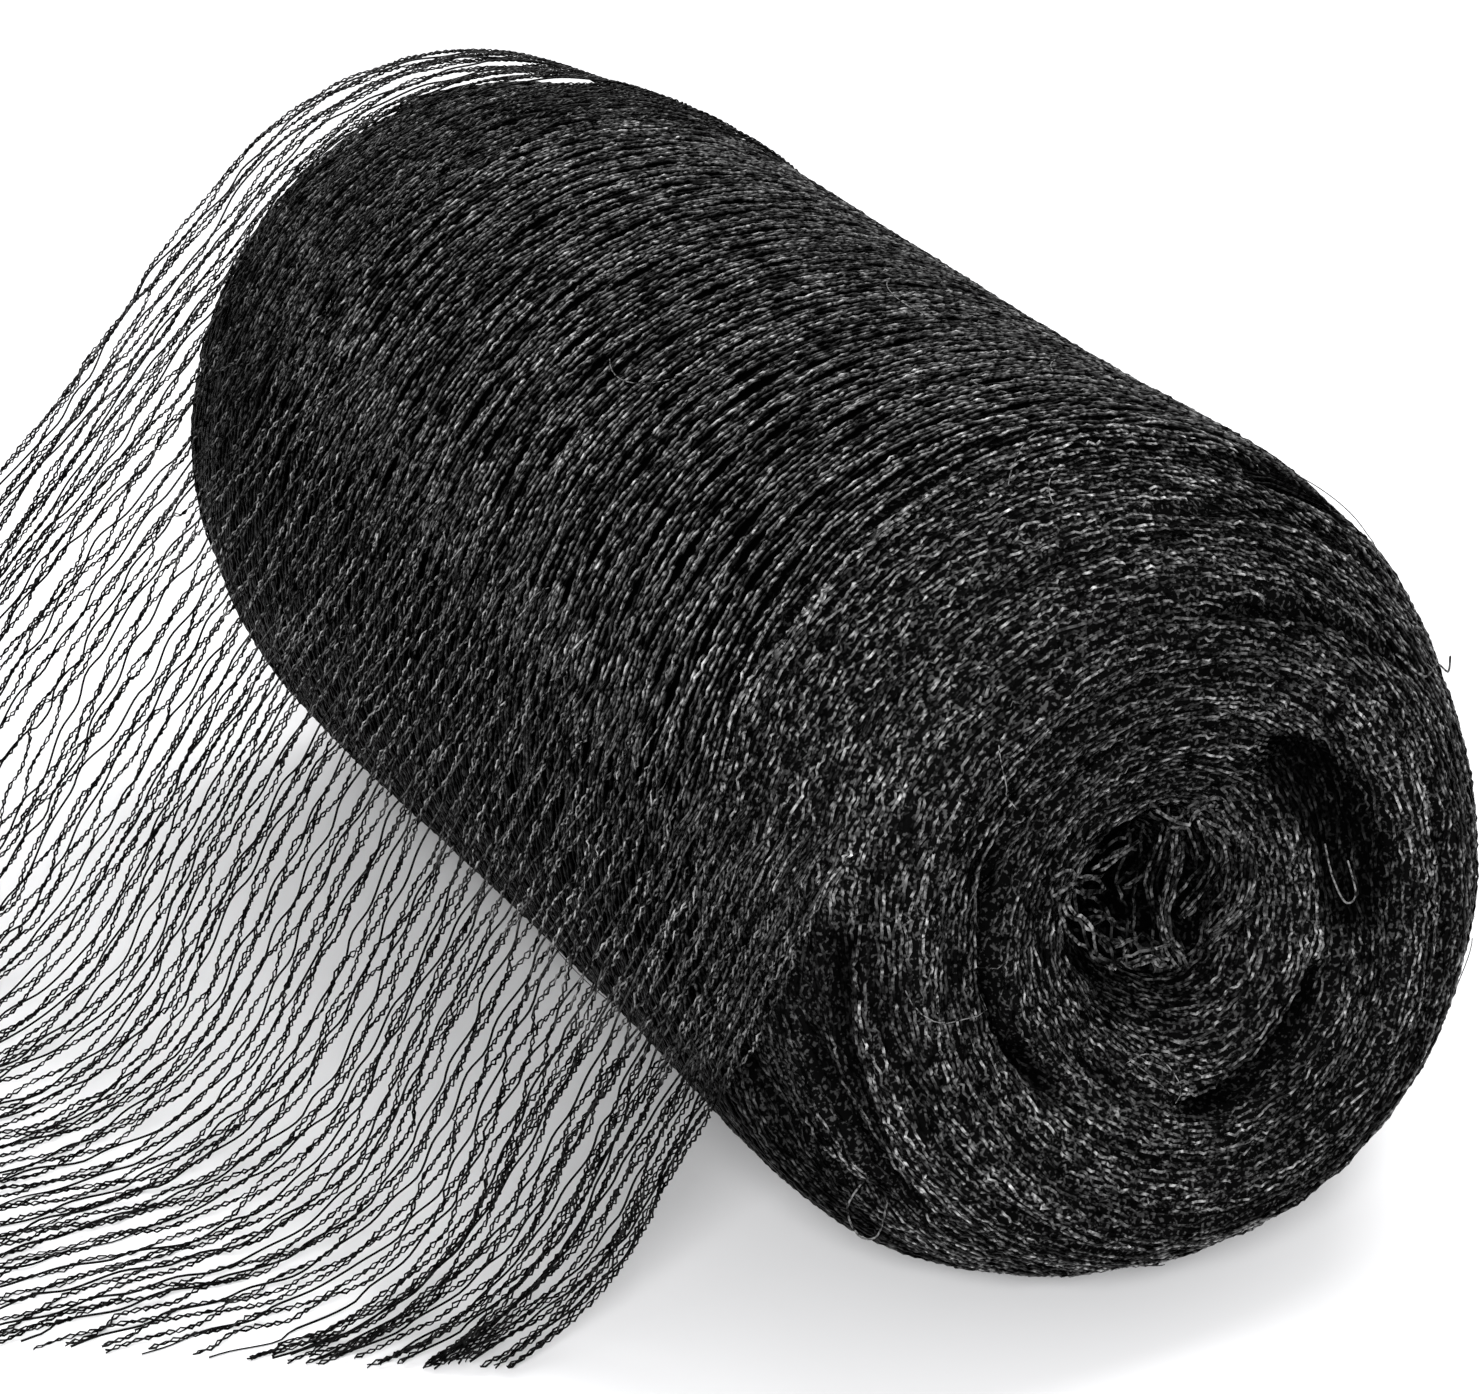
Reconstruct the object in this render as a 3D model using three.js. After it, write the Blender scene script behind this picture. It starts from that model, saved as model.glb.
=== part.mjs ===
// A soft roll of pond netting lying on its side, with its loose end hanging down to the floor.
// Millimetres, +Z up. Y runs along the roll from its near end to its far end, and the loose net
// runs out towards -X. The origin is the middle of the flat spot that the roll rests on.

import * as THREE from 'three';

// Roll
const ROLL_RADIUS = 79;
const ROLL_LENGTH = 277;
const NEAR_RIM_Y = -140;
const FAR_SWELL = 0.06;
const WAIST = 0.03;
const LEAN_ACROSS = -0.105;
const LEAN_UP = 0.222;
const FLAT_SPOT_DEPTH = 1.4;
const ROLL_SEGMENTS = 56;

// Turns that show at the ends
const TURN_PITCH = 9.5;
const TURN_WOBBLE = 1.6;

// Outline of the roll from the near hollow to the far hollow.
// Columns: distance along the axis from the near rim, radius, rings to the next row, ridge of the turns
const PROFILE = [
  [26, 0, 2, 0.0],
  [24.5, 8, 2, 0.6],
  [17, 15, 2, 1.0],
  [8.5, 21, 3, 1.4],
  [4.5, 29, 5, 1.6],
  [1.5, 40, 5, 1.8],
  [0, 51, 4, 1.8],
  [3, 57.5, 4, 1.6],
  [11.5, 66.2, 4, 1.1],
  [23, 74, 4, 0.6],
  [38, 79, 4, 0.0],
  [95, 79, 4, 0.0],
  [160, 79, 4, 0.0],
  [219, 79, 2, 0.0],
  [248, 76.6, 3, 0.4],
  [269.6, 70.3, 3, 1.2],
  [277, 61.5, 5, 1.7],
  [275, 51, 5, 1.8],
  [272.5, 40, 5, 1.6],
  [269, 29, 3, 1.4],
  [264, 21, 2, 1.0],
  [256, 15, 2, 0.6],
  [249, 8, 2, 0.3],
  [248, 0, 0, 0.0],
];

// Deep creases between turns. Columns: angle from +X towards +Z in degrees, radius, half length in
// degrees, depth, half width
const NEAR_CREASES = [
  [37, 41, 34, 9.0, 4.5],
  [-62, 49, 28, 5.0, 3.0],
  [195, 50, 44, 5.0, 3.0],
  [215, 69, 26, 4.0, 2.4],
  [224, 76, 22, 3.5, 2.0],
];
const FAR_CREASES = [
  [150, 43, 36, 7.0, 4.0],
  [-25, 53, 40, 5.0, 3.0],
];

// Loose net
const STRANDS = 36;
const ROW_PAIRS = 16;
const JOINT_SHARE = 0.3;
const STRAND_WIDTH = 2.2;
const NET_THICKNESS = 1.2;
const NET_CLEARANCE = 0.9;
const RIDGE_CLEARANCE = 1.5;
const NET_START_DEG = -52;
const FAR_BAND_START = 219;
const FAR_BAND_RADIUS = 82.8;
const FAR_BAND_TAPER = 0.09;
const FOLD_HEIGHT = 5;
const CROWDING = 0.25;
const CROWDED_BANDS = 2.4;

// How the net hangs across its width. Columns: share of the width from the near edge, y over the top
// of the roll, y where it leaves the roll, y at its cut end, degrees from the top where it leaves,
// bend radius at the floor, x of the cut end
const DRAPE = [
  [0.0, -110, -121, -98, 72, 40, -113],
  [0.1, -88, -97, -73, 70, 42, -148],
  [0.2, -63, -69, -45, 67, 44, -188],
  [0.5, 12, 9, 25, 59, 52, -208],
  [0.8, 92, 91, 98, 51, 62, -220],
  [1.0, 155, 155, 153, 45, 68, -228],
];

const radians = (degrees) => (degrees * Math.PI) / 180;
const clamp01 = (value) => Math.min(1, Math.max(0, value));
const smooth = (value) => {
  const t = clamp01(value);
  return t * t * (3 - 2 * t);
};

// Straight-line reading of a table whose first column increases.
function readTable(table, key) {
  const upper = table.findIndex((row) => row[0] >= key);
  const high = upper < 1 ? 1 : upper;
  const before = table[high - 1];
  const after = table[high];
  const t = (key - before[0]) / (after[0] - before[0]);
  return before.map((value, column) => value + (after[column] - value) * t);
}

// Share of full size at a distance along the axis: slim in the middle, largest at the far end.
function girth(along) {
  const t = clamp01(along / ROLL_LENGTH);
  return 1 + FAR_SWELL * t - WAIST * 4 * t * (1 - t);
}

// The near end leans: its faces are tipped back at the top.
function lean(along, radius, angle) {
  const fade = 1 - clamp01(along / ROLL_LENGTH);
  return fade * radius * (LEAN_ACROSS * Math.cos(angle) + LEAN_UP * Math.sin(angle));
}

// Slow unevenness of the wound side.
function lump(along, angle) {
  return 0.5 * Math.sin(2 * angle + along / 48 + 2.2) + 0.4 * Math.sin(3 * angle - along / 36 + 3);
}

// Depth of the creases at a place on an end.
function creaseDepth(creases, radius, angle) {
  return creases.reduce((depth, [degrees, middle, halfLength, deepest, halfWidth]) => {
    const turn = Math.abs(((((angle * 180) / Math.PI - degrees) % 360) + 540) % 360 - 180);
    const along = smooth(1.6 * (1 - turn / halfLength));
    const across = Math.exp(-(((radius - middle) / halfWidth) ** 2));
    return depth + deepest * along * across;
  }, 0);
}

// Rounded ridge of the wound turns, which run outwards as a spiral.
function turnRidge(radius, angle) {
  const wobble = TURN_WOBBLE * (Math.sin(2 * angle + 0.7) + 0.6 * Math.sin(3 * angle + 2.1));
  const turns = (radius + wobble) / TURN_PITCH - angle / (2 * Math.PI);
  return Math.cos(2 * Math.PI * turns);
}

// Place a point of the outline at an angle around the roll.
function rollPoint(along, radius, angle) {
  const size = girth(along);
  const spread = radius * size;
  const x = spread * Math.cos(angle);
  const y = NEAR_RIM_Y + along + lean(along, spread, angle);
  const z = ROLL_RADIUS * size + spread * Math.sin(angle) - FLAT_SPOT_DEPTH;
  return new THREE.Vector3(x, y, Math.max(0, z));
}

// Rings of the outline: distance along, radius, outward direction and ridge height.
function profileRings() {
  const curve = new THREE.SplineCurve(PROFILE.map(([along, radius]) => new THREE.Vector2(along, radius)));
  const spans = PROFILE.length - 1;
  const rings = [];
  for (let span = 0; span < spans; span += 1) {
    const [, , count, ridge] = PROFILE[span];
    const nextRidge = PROFILE[span + 1][3];
    for (let step = 0; step < count; step += 1) {
      const t = step / count;
      const place = curve.getPoint((span + t) / spans);
      const heading = curve.getTangent((span + t) / spans);
      rings.push({
        along: place.x,
        radius: place.y,
        outAlong: -heading.y,
        outRadius: heading.x,
        ridge: ridge + (nextRidge - ridge) * t,
        creases: span < spans / 2 ? NEAR_CREASES : FAR_CREASES,
      });
    }
  }
  return rings;
}

// Surface point of one ring, with its turns, creases and lumps.
function ringPoint(ring, angle) {
  const { along, radius, outAlong, outRadius, ridge, creases } = ring;
  const facing = clamp01(Math.abs(outAlong) * 1.4);
  const raised = ridge * turnRidge(radius, angle) - creaseDepth(creases, radius, angle) * facing;
  const side = lump(along, angle) * clamp01((radius - 50) / 25);
  return rollPoint(along + raised * outAlong, radius + raised * outRadius + side, angle);
}

function meshFrom(name, points, faces, colour) {
  const geometry = new THREE.BufferGeometry();
  const numbers = points.flatMap((point) => point.toArray());
  geometry.setAttribute('position', new THREE.Float32BufferAttribute(numbers, 3));
  geometry.setIndex(faces.flat());
  geometry.computeVertexNormals();
  const mesh = new THREE.Mesh(geometry, new THREE.MeshStandardMaterial({ color: colour, roughness: 0.6 }));
  mesh.name = name;
  return mesh;
}

function buildRoll() {
  const rings = profileRings().slice(1);
  const points = [];
  const faces = [];
  const at = (ring, segment) => 1 + ring * ROLL_SEGMENTS + (segment % ROLL_SEGMENTS);
  points.push(rollPoint(PROFILE[0][0], 0, 0));
  rings.forEach((ring) => {
    for (let segment = 0; segment < ROLL_SEGMENTS; segment += 1) {
      points.push(ringPoint(ring, (2 * Math.PI * (segment + 0.5)) / ROLL_SEGMENTS));
    }
  });
  const far = points.length;
  points.push(rollPoint(PROFILE[PROFILE.length - 1][0], 0, 0));
  const last = rings.length - 1;
  for (let segment = 0; segment < ROLL_SEGMENTS; segment += 1) {
    faces.push([0, at(0, segment), at(0, segment + 1)]);
    for (let ring = 0; ring < last; ring += 1) {
      const a = at(ring, segment);
      const b = at(ring, segment + 1);
      const c = at(ring + 1, segment + 1);
      const d = at(ring + 1, segment);
      faces.push([a, d, c], [a, c, b]);
    }
    faces.push([far, at(last, segment + 1), at(last, segment)]);
  }
  return meshFrom('net_roll', points, faces, 0x161616);
}

// Outer part of the outline, from the near rim to the far rim, over the ridges of the turns.
function outerRings() {
  return profileRings()
    .filter(({ radius }) => radius > 50)
    .map(({ along, radius, ridge }) => [along, radius + RIDGE_CLEARANCE * ridge])
    .filter(([along], index, rows) => index === 0 || along > rows[index - 1][0]);
}

// Radius of the wound side and height of its axis at a given y and angle. The lean depends on the
// answer, so it is found in a few steps.
function sideAt(y, angle, outline) {
  const lowest = outline[0][0];
  const highest = outline[outline.length - 1][0];
  let along = y - NEAR_RIM_Y;
  let radius = ROLL_RADIUS;
  for (let step = 0; step < 10; step += 1) {
    along = Math.min(highest, Math.max(lowest, along));
    radius = (readTable(outline, along)[1] + lump(along, angle)) * girth(along);
    along = y - NEAR_RIM_Y - lean(along, radius, angle);
  }
  return { radius, height: ROLL_RADIUS * girth(along) - FLAT_SPOT_DEPTH };
}

// Radius of the net's middle layer over the roll. Past the far rim it keeps on as an open band.
function netRadius(y, angle, outline) {
  const side = sideAt(y, angle, outline);
  const along = y - NEAR_RIM_Y;
  const band = FAR_BAND_RADIUS - FAR_BAND_TAPER * (along - FAR_BAND_START);
  const lying = side.radius + NET_CLEARANCE + NET_THICKNESS / 2;
  return { radius: along > FAR_BAND_START ? Math.max(lying, band) : lying, height: side.height };
}

// One line of net along its length: over the roll, straight down, round the bend and along the floor.
function netLine(share, outline) {
  const [, topY, leaveY, endY, leaveDegrees, bend, endX] = readTable(DRAPE, share);
  const start = radians(NET_START_DEG);
  const leave = radians(leaveDegrees);
  const floorZ = NET_THICKNESS / 2;
  const onRoll = (turn) => {
    const y = topY + (leaveY - topY) * clamp01(turn / leave);
    const { radius, height } = netRadius(y, Math.PI / 2 + turn, outline);
    return { place: [-radius * Math.sin(turn), y, height + radius * Math.cos(turn)], turn };
  };
  const [leaveX, , leaveZ] = onRoll(leave).place;
  const toFloor = (leaveZ - floorZ) / Math.sin(leave);
  const tangent = bend * Math.tan(leave / 2);
  const touchX = leaveX - toFloor * Math.cos(leave) - tangent;
  const over = (leave - start) * ROLL_RADIUS;
  const straight = toFloor - tangent;
  const round = bend * leave;
  const total = over + straight + round + touchX - endX;

  const shape = (distance) => {
    const past = distance - over;
    if (past < straight) {
      return { x: leaveX - past * Math.cos(leave), z: leaveZ - past * Math.sin(leave), turn: leave };
    }
    if (past < straight + round) {
      const turn = leave - (past - straight) / bend;
      return { x: touchX + bend * Math.sin(turn), z: floorZ + bend * (1 - Math.cos(turn)), turn };
    }
    return { x: touchX - (past - straight - round), z: floorZ, turn: 0 };
  };

  return (fraction) => {
    const distance = fraction * total;
    if (distance < over) {
      return onRoll(start + distance / ROLL_RADIUS);
    }
    const { x, z, turn } = shape(distance);
    const hanging = clamp01((distance - over) / (straight + round));
    const fold = FOLD_HEIGHT * Math.sin(Math.PI * hanging) ** 2 * Math.sin(9 * share + 0.4) ** 2;
    const y = leaveY + (endY - leaveY) * smooth((distance - over) / (total - over));
    return { place: [x - fold * Math.sin(turn), y, z + fold * Math.cos(turn)], turn };
  };
}

// Shares of the width drift together and apart, so that gaps are uneven.
function crowd(share, fraction) {
  const inside = smooth(share / 0.12) * smooth((1 - share) / 0.12);
  const wave = Math.sin(2 * Math.PI * (CROWDED_BANDS * share + 0.6 * fraction) + 0.6);
  return share + (CROWDING * inside * wave) / (2 * Math.PI * CROWDED_BANDS);
}

// Rows come in pairs: neighbouring strands are joined between the rows of one pair and apart in the next.
const rowFraction = (row) => (Math.floor(row / 2) + (row % 2) * JOINT_SHARE) / (ROW_PAIRS - 1 + JOINT_SHARE);
const isJoined = (boundary, row) => (Math.floor(row / 2) + boundary) % 2 === 0;

function buildLooseNet() {
  const outline = outerRings();
  const rows = 2 * ROW_PAIRS;
  const points = [];
  const faces = [];
  const seen = new Map();

  // Half of the gap at a boundary between strands, as a share of the width.
  const halfGap = (boundary, row) => {
    if (isJoined(boundary, row)) {
      return 0;
    }
    const fraction = rowFraction(row);
    const width = readTable(DRAPE, 1)[1] - readTable(DRAPE, 0)[1];
    const pitch = crowd((boundary + 0.5) / STRANDS, fraction) - crowd((boundary - 0.5) / STRANDS, fraction);
    return pitch - STRAND_WIDTH / width;
  };

  // Upper and lower vertex of a strand's edge. side is -1 for the strand before the boundary, 1 after.
  const edge = (boundary, row, side) => {
    const key = `${boundary}/${row}/${isJoined(boundary, row) ? 0 : side}`;
    if (!seen.has(key)) {
      const fraction = rowFraction(row);
      const share = crowd(boundary / STRANDS, fraction) + side * halfGap(boundary, row);
      const { place, turn } = netLine(clamp01(share), outline)(fraction);
      const middle = new THREE.Vector3(...place);
      const half = new THREE.Vector3(-Math.sin(turn), 0, Math.cos(turn)).multiplyScalar(NET_THICKNESS / 2);
      seen.set(key, [points.length, points.length + 1]);
      points.push(middle.clone().add(half), middle.clone().sub(half));
    }
    return seen.get(key);
  };
  const quad = (a, b, c, d) => faces.push([a, b, c], [a, c, d]);

  for (let strand = 0; strand < STRANDS; strand += 1) {
    for (let row = 0; row < rows; row += 1) {
      const [leftTop, leftUnder] = edge(strand, row, 1);
      const [rightTop, rightUnder] = edge(strand + 1, row, -1);
      if (row === 0) {
        quad(leftTop, leftUnder, rightUnder, rightTop);
      }
      if (row === rows - 1) {
        quad(leftTop, rightTop, rightUnder, leftUnder);
        continue;
      }
      const [nextLeftTop, nextLeftUnder] = edge(strand, row + 1, 1);
      const [nextRightTop, nextRightUnder] = edge(strand + 1, row + 1, -1);
      quad(leftTop, rightTop, nextRightTop, nextLeftTop);
      quad(nextLeftUnder, nextRightUnder, rightUnder, leftUnder);
      const leftJoined = strand > 0 && isJoined(strand, row) && isJoined(strand, row + 1);
      const rightJoined = strand < STRANDS - 1 && isJoined(strand + 1, row) && isJoined(strand + 1, row + 1);
      if (!leftJoined) {
        quad(leftTop, nextLeftTop, nextLeftUnder, leftUnder);
      }
      if (!rightJoined) {
        quad(rightTop, rightUnder, nextRightUnder, nextRightTop);
      }
    }
  }
  return meshFrom('loose_net', points, faces, 0x202020);
}

const part = new THREE.Group();
part.add(buildRoll(), buildLooseNet());
export default part;
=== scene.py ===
"""A soft roll of black knitted pond netting on its side, its loose end hanging down to the floor."""

import math

import bpy
import numpy as np
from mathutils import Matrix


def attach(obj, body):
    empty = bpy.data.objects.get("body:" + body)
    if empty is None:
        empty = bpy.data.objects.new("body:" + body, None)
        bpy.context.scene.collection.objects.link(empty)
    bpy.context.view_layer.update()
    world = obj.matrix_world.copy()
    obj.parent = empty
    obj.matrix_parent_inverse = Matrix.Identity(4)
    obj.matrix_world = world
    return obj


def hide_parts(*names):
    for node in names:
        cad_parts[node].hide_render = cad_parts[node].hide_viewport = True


# Sizes below are in millimetres, as in the part's source, apart from those of the light and floor
MM = 0.001
TINY = 1e-9
SEED = 41
# Random waves start anywhere from 0 to a little over one full turn
RANDOM_PHASE = 6.3

# Camera, fitted to the outline of the roll
PHOTO_WIDTH = 1480
FOCAL_PIXELS = 3000
SENSOR_WIDTH = 36.0
CAMERA_PLACE = (-286.3, -471.0, 353.8)
CAMERA_HEADING = 30.59
CAMERA_DROP = 28.09
NEAREST_VIEW = 10.0

# Roll
ROLL_RADIUS = 79.0
ROLL_LENGTH = 277.0
NEAR_RIM_Y = -140.0
FAR_SWELL = 0.06
WAIST = 0.03
LEAN_ACROSS = -0.105
LEAN_UP = 0.222
FLAT_SPOT_DEPTH = 1.4
TURN_PITCH = 9.5
TURN_WOBBLE = 1.6
# Columns: share of the wobble, waves around the roll and start
WOBBLE_WAVES = ((1.0, 2, 0.7), (0.6, 3, 2.1))
TURN_ROUNDNESS = 0.85
RELIEF_BASE = 0.7
RELIEF_CHANGE = 0.3
RELIEF_REACHES = (6.0, 9.0)
# Lumps of the side. Columns: height, waves around the roll, reach along it and start
LUMP_WAVES = ((0.5, 2, 48, 2.2), (0.4, 3, -36, 3))
# Radius from which the side is lumpy, and the distance over which its lumps grow
LUMP_START = 50.0
LUMP_REACH = 25.0

# Outline of the roll from the near hollow to the far hollow.
# Columns: distance along the axis from the near rim, radius, ridge of the turns
PROFILE = np.array([
    (26.0, 0.0, 0.0),
    (24.5, 8.0, 0.6),
    (17.0, 15.0, 1.0),
    (8.5, 21.0, 1.4),
    (4.5, 29.0, 1.6),
    (1.5, 40.0, 1.8),
    (0.0, 51.0, 1.8),
    (3.0, 57.5, 1.6),
    (11.5, 66.2, 1.1),
    (23.0, 74.0, 0.6),
    (38.0, 79.0, 0.0),
    (95.0, 79.0, 0.0),
    (160.0, 79.0, 0.0),
    (219.0, 79.0, 0.0),
    (248.0, 76.6, 0.4),
    (269.6, 70.3, 1.2),
    (277.0, 61.5, 1.7),
    (275.0, 51.0, 1.8),
    (272.5, 40.0, 1.6),
    (269.0, 29.0, 1.4),
    (264.0, 21.0, 1.0),
    (256.0, 15.0, 0.6),
    (249.0, 8.0, 0.3),
    (248.0, 0.0, 0.0),
])
OUTLINE_STEPS = 24
NEAR_END_ROWS = (0, 10)
FAR_END_ROWS = (13, 23)

# Deep creases between turns. Columns: angle from +X towards +Z in degrees, radius there, change of
# radius for each degree, half length in degrees, depth, half width
NEAR_CREASES = (
    (20, 34.0, -0.03, 44, 8.0, 5.0),
    (-60, 31.8, -0.05, 44, 7.0, 1.7),
    (185, 38.3, -0.1, 48, 6.5, 1.8),
    (143, 43.0, 0.0, 18, 3.0, 1.1),
    (52, 76.7, -0.12, 16, 4.0, 1.4),
    (59, 70.2, -0.12, 36, 2.5, 1.1),
    (58, 57.8, -0.13, 34, 3.2, 1.3),
    (205, 72.5, -0.22, 20, 4.5, 1.1),
    (203, 66.8, -0.02, 24, 4.5, 1.1),
    (186, 63.0, 0.03, 26, 4.0, 1.3),
    (176, 58.8, -0.1, 40, 2.2, 1.1),
)
FAR_CREASES = (
    (150, 43, 0.0, 36, 7.0, 4.0),
    (-25, 53, 0.05, 40, 5.0, 3.0),
    (60, 66, -0.1, 34, 3.0, 1.6),
)
# How soon a crease is at its full depth, and how soon it fades where an end turns into the side
CREASE_TAPER = 1.6
CREASE_FACING = 1.4

# Body under the knit
BODY_INSET = 0.9
BODY_RING_GAP = 2.3
BODY_SEGMENTS = 118
BODY_FLOOR_GAP = 0.5
WELD_DISTANCE = 0.01

# Knit of the wound turns. Each stitch of a yarn has two points: how high they lie and how light they are,
# with painted light on the raised point and painted shade on the lower one
STROKE_RISE = np.array([0.1, -0.08])
STROKE_TONE = np.array([1.0, 0.3])
STROKE_PLAY = 0.1
STROKE_SLIP = 0.35
STROKE_STEP = 1.3
FEWEST_STEPS = 4
# Corners of a yarn in degrees, and their tones: painted light on the flat top and painted shade on the
# underside
YARN_CORNERS = (30.0, 150.0, 270.0)
CORNER_TONES = (1.0, 1.0, 0.15)
# Yarn of the side and of the ends: radius, unevenness and how rare its painted glints are
SIDE_YARN = (0.34, 0.14, 1.3)
END_YARN = (0.29, 0.21, 1.7)
# Least and most painted light that uneven height gives a stitch, lower stitches being darker
SHADE_LIMITS = (0.15, 1.3)
KNIT_FLOOR_GAP = 0.15

# Pairs of yarns around the side, which meet and part around lens-shaped gaps
SIDE_PITCH = 2.85
PAIR_COLUMNS = (-0.25, 0.25)
LENS_LENGTH = 27.0
LENS_DEPTH = 0.5
LENS_CHANGE = 0.6
LENS_SHIFT = 0.21
SIDE_DRIFT = 0.4
SIDE_RIPPLE = 0.25
SWELL_LIFT = 0.2
# Painted shade from the swell of a yarn: yarns that lie lower are darker, higher ones lighter
SWELL_BASE = 0.8
SWELL_SHADE = 0.5
# Fewest and most crests of the waves along a yarn
SLOW_CRESTS = (2, 6)
RIPPLE_CRESTS = (7, 24)
SWELL_CRESTS = ((3, 9), (9, 30))

# Yarns over the ends.
# Columns: name, rows of the outline, yarns in each turn, step along a yarn and brightness
ENDS = (
    ("near_end_knit", NEAR_END_ROWS, 10, 1.05, 0.83),
    ("far_end_knit", FAR_END_ROWS, 6, 1.4, 1.25),
)
END_INNER_RADIUS = 9.0
END_OUTER_RADIUS = 76.6
END_OVERLAP = 3.0
SPIRAL_POINTS = 6000
END_SWAY = 0.3
END_SWAY_WAVES = 8
END_LEVEL = 0.25
END_LEVEL_WAVES = 6
END_SINK = 0.2
PAST_INNER = 3.0
PAST_OUTER = 0.8
WAVE_REACH = (7.0, 70.0)

# Painted shade of the wound surface in creases, valleys and hollows, and painted shadow where the net hangs
# over it
DARK_CREASE = 3.6
CREASE_SHADE = 0.9
VALLEY_SHADE = 0.4
DARK_HOLLOW_RADIUS = 24.0
HOLLOW_FADE = 12.0
HOLLOW_SHADE = 0.9
UNDER_NET_SHADE = 0.2
NET_EDGE_FADE = 6.0
# Angles in radians: how early and how fast the painted shadow darkens it past the place where the net
# leaves, and its end
LEAVE_LEAD = 0.02
LEAVE_FADE = 0.25
UNDER_NET_END = 3.0
UNDER_NET_FADE = 0.4

# Fine fibres that stand off the roll
FIBRE_COUNT = 50
FIBRE_LEAST_RADIUS = 18.0
FIBRE_RADIUS = 0.11
FIBRE_POINTS = 14
FIBRE_LENGTHS = (8.0, 32.0)
FIBRE_TURN = 0.6
FIBRE_CURL = 1.2
FIBRE_GAP = 0.6
FIBRE_LIFTS = (0.2, 1.0)
FIBRE_TONES = (0.1, 0.4)
# First and last share of the outline that fibres lie on
FIBRE_SPAN = (0.05, 0.95)
LOOP_RADIUS = 0.22
LOOP_POINTS = 6
LOOP_TONE = 0.3

# Loose net: knitted chains with a plain yarn after every second one
NET_STRANDS = 152
NEAR_NET_STRANDS = 86
# Columns: name, first strand and the strand after the last
NET_PIECES = (
    ("loose_net_near", 0, NEAR_NET_STRANDS),
    ("loose_net_far", NEAR_NET_STRANDS, NET_STRANDS),
)
LINE_POINTS = 520
COARSE_STEP = 7.0
PLAIN_EVERY = 3
THIN_YARN_STEP = 1.9
THIN_YARN_RADIUS = 0.25
THIN_YARN_TONE = 0.2
NET_THICKNESS = 1.2
NET_FLOOR_GAP = 0.1

# Chains of the net. Each range is a share of the last single value above it
NET_STITCH = 1.9
YARN_RADIUS = 0.2
RADIUS_RANGE = (0.7, 1.4)
NET_SPREAD = 0.5
EYELET_RANGE = (0.45, 1.15)
SWAY_RANGE = (0.7, 1.3)
CHAIN_RISE = 0.25
CHAIN_PLAY = 0.12
CHAIN_SLIP = 0.3
# Painted shade of a chain's yarn where it passes under the other
UNDER_TONE = 0.5

# Neighbouring strands meet in rows: play of a row, shift as a share of the pitch and meetings left out
NET_ROWS = 44
ROW_PLAY = 0.3
MEETING_RANGE = (0.28, 0.52)
MISSED_MEETINGS = 0.15

# Sideways wander, wider past a share of the length.
# Columns: waves for each strand, waves along the net, start, width before and width added after
LOOSE_FROM = 0.6
MEANDERS = (
    (0.065, 1.7, 0.0, 0.3, 0.5),
    (0.15, -2.6, 1.0, 0.15, 0.3),
)
# A strand's own wander: range of its waves, width, width added later, and width towards the far edge
OWN_WAVES = (14.0, 50.0)
OWN_WIDTH = 0.2
OWN_LOOSENESS = 0.15
FAR_PLAY = 1.4
FAR_PLAY_START = 0.55
FAR_PLAY_REACH = 0.3

# Strands lie closer at the near edge: share of the strands and share of the width that they take up
CROWDED_STRANDS = (0.0, 0.11, 0.22, 1.0)
CROWDED_WIDTHS = (0.0, 0.043, 0.108, 1.0)
# Bands in which strands drift together and apart
CROWDING = 0.05
CROWDED_BANDS = 2.4
CROWD_SLANT = 0.6
CROWD_START = 0.6
CALM_EDGE = 0.12

# How the net lies on the roll, and its folds where it hangs
NET_CLEARANCE = 0.9
RIDGE_CLEARANCE = 1.5
NET_START_DEG = -52.0
FIT_ROUNDS = 10
FAR_BAND_START = 219.0
FAR_BAND_RADIUS = 82.8
FAR_BAND_TAPER = 0.09
FAR_BAND_LEAD = 12.0
FAR_BAND_FADE = 18.0
FAR_BAND_Y = NEAR_RIM_Y + FAR_BAND_START - FAR_BAND_LEAD
FOLD_HEIGHT = 5.0
FOLD_WAVES = 9.0
FOLD_START = 0.4

# Where a strand comes out of the wound knit, and how it billows
TUCK_DEPTH = 2.5
TUCK_RANGE = (0.0, 8.0)
TUCK_REACH = 12.0
EMERGE_RANGE = (-14.0, -4.0)
EMERGE_REACH = 12.0
FREE_REACH = 25.0
BILLOW_WAVES = (14.0, 30.0)
BILLOW_LYING = 0.2
LYING_SINK = 0.3
BILLOW_FREE = 0.8
FREE_RISE = 0.6

# Painted glints of the loose net, which is lightest just after it comes out of the roll and darker further
# out and over the far band
LOOSE_DARKEST = 0.1
LIGHT_REACH = 28.0
FAR_LIGHT_REACH = 26.0
LIGHT_FADE = 20.0
FAR_BAND_SHADE = 0.6

# How the net hangs across its width. Columns: share of the width from the near edge, y over the top
# of the roll, y where it leaves the roll, y at its cut end, degrees from the top where it leaves,
# bend radius at the floor, x of the cut end
DRAPE = np.array([
    (0.0, -116, -121, -98, 72, 40, -113),
    (0.1, -93, -97, -73, 70, 42, -148),
    (0.2, -66, -69, -45, 67, 44, -188),
    (0.5, 11, 9, 25, 59, 52, -208),
    (0.8, 92, 91, 98, 51, 62, -220),
    (1.0, 155, 155, 153, 45, 68, -228),
])
TOP_Y, LEAVE_Y, CUT_Y, LEAVE_DEGREES, FLOOR_BEND, CUT_X = range(1, 7)
NET_WIDTH = DRAPE[-1, TOP_Y] - DRAPE[0, TOP_Y]

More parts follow.
